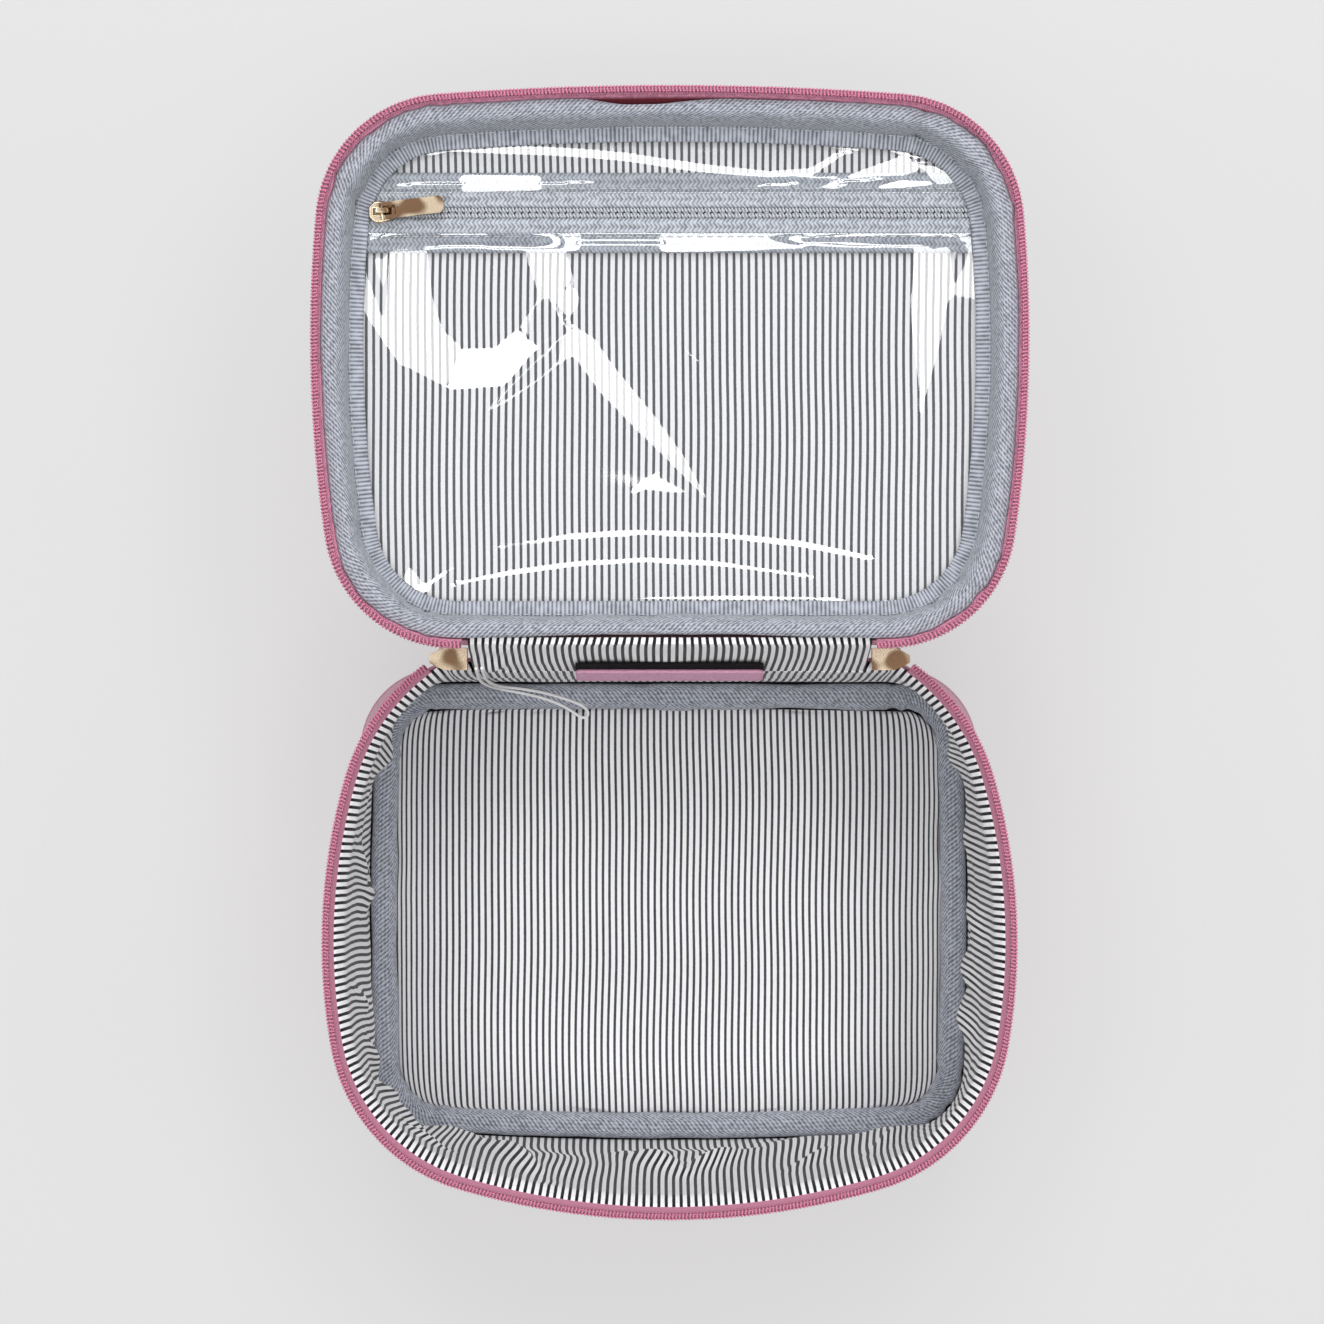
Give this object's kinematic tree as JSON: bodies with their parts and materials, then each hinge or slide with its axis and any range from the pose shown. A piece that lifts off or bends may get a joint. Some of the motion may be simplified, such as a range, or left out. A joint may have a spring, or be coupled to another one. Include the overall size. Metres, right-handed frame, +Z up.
{
  "type": "makeup train case",
  "caption": "Soft zip-round makeup train case with a padded leather body, striped lining, a clear zipped pocket in the hinged lid and a carrying handle.",
  "frame": {"origin": "middle of the base panel, on the surface that the case stands on", "axes": "+X to the right seen from the front, +Y towards the hinge and the open lid, +Z up"},
  "size_m": [0.2322, 0.3688, 0.1524],
  "materials": {
    "outer_leather": "satin",
    "label_leather": "satin",
    "label_backing": "matte",
    "stripe_lining": "matte",
    "grey_binding": "matte",
    "pink_tape": "matte",
    "pink_coil": "satin",
    "grey_tape": "matte",
    "grey_coil": "satin",
    "clear_sheet": "gloss",
    "gold_metal": "polished",
    "base_sheet": "matte",
    "board": "matte",
    "padding": "matte",
    "white_cord": "matte"
  },
  "bodies": {
    "case_body": {"base_panel": "outer_leather", "base_piping": "outer_leather", "base_board": "base_sheet", "floor_pad": "padding", "floor_lining": "stripe_lining", "floor_binding": "grey_binding", "body_wall": "outer_leather", "body_foam": "padding", "body_lining": "stripe_lining", "body_zip_tape": "pink_tape", "body_zip_coil": "pink_coil", "hinge_lining": "stripe_lining", "hinge_leather": "outer_leather", "label_backing": "label_backing", "lining_label": "label_leather", "hang_loop": "white_cord", "left_slider": "gold_metal", "right_slider": "gold_metal"},
    "lid": {"lid_panel": "outer_leather", "lid_piping": "outer_leather", "lid_board": "board", "lid_pad": "padding", "lid_lining": "stripe_lining", "lid_wall": "outer_leather", "lid_foam": "padding", "lid_binding": "grey_binding", "lid_zip_tape": "pink_tape", "lid_zip_coil": "pink_coil", "pocket_upper_sheet": "clear_sheet", "pocket_lower_sheet": "clear_sheet", "pocket_upper_tape": "grey_tape", "pocket_lower_tape": "grey_tape", "pocket_coil": "grey_coil", "handle_bracket_left": "gold_metal", "handle_bracket_right": "gold_metal", "handle_pin_left": "gold_metal", "handle_pin_right": "gold_metal"},
    "handle": {"handle_end_left": "gold_metal", "handle_end_right": "gold_metal", "handle_grip": "outer_leather"},
    "pocket_slider": {"pocket_slider": "gold_metal"},
    "pocket_pull": {"pocket_pull": "gold_metal"},
    "left_pull": {"left_pull": "gold_metal"},
    "right_pull": {"right_pull": "gold_metal"}
  },
  "joints": [
    {"name": "lid_hinge", "type": "hinge", "parent": "case_body", "child": "lid", "pos_m": [0, 0.094, 0.1384], "axis": [1, 0, 0], "range_deg": [0, 180], "deforming": ["hinge_lining", "hinge_leather"]},
    {"name": "handle_swing", "type": "hinge", "parent": "lid", "child": "handle", "pos_m": [0, 0.1848, 0.1174], "axis": [1, 0, 0], "range_deg": [-85, 85]},
    {"name": "pocket_zip", "type": "slide", "parent": "lid", "child": "pocket_slider", "axis": [1, 0, 0], "range_m": [0, 0.17]},
    {"name": "pocket_pull_tilt", "type": "hinge", "parent": "pocket_slider", "child": "pocket_pull", "pos_m": [-0.0932, 0.2368, 0.1387], "axis": [0.1219, -0.9925, 0], "range_deg": [0, 95]},
    {"name": "left_pull_swing", "type": "hinge", "parent": "case_body", "child": "left_pull", "pos_m": [-0.07295, 0.0977, 0.1215], "axis": [1, 0, 0], "range_deg": [0, 75]},
    {"name": "right_pull_swing", "type": "hinge", "parent": "case_body", "child": "right_pull", "pos_m": [0.07295, 0.0977, 0.1215], "axis": [1, 0, 0], "range_deg": [0, 75]}
  ]
}
